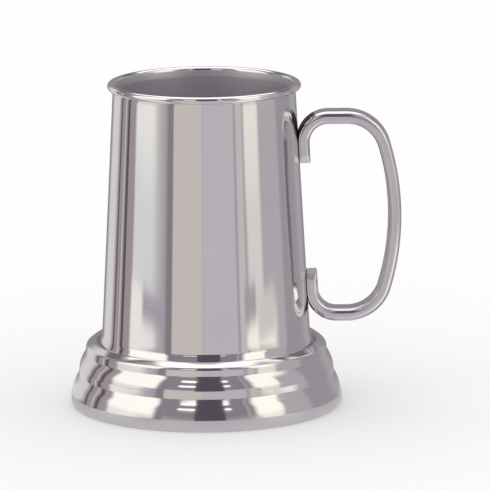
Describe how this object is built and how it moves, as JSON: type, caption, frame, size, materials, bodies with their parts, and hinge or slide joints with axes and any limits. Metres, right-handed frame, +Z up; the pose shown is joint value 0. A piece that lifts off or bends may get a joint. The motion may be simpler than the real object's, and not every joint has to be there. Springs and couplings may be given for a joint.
{
  "type": "tankard",
  "caption": "Tapered metal tankard with a rolled rim, a stepped hollow foot, a soldered-in floor and a rounded-rectangle bar handle.",
  "frame": {"origin": "on the drum's axis, level with the foot's resting face", "axes": "+Z up along the drum's axis, +X from the axis towards the handle, +Y square to the handle"},
  "size_m": [0.1323, 0.1084, 0.13],
  "materials": {
    "drum": "polished pewter outside, satin inside",
    "floor": "satin, turned",
    "foot": "polished pewter with a satin bottom band",
    "handle": "satin",
    "solder": "dull solder"
  },
  "bodies": {
    "root": {"body_drum": "drum", "floor_disc": "floor", "foot_skirt": "foot", "handle": "handle", "upper_handle_solder": "solder", "lower_handle_solder": "solder", "floor_solder_ring": "solder", "foot_solder_ring": "solder"}
  },
  "joints": []
}
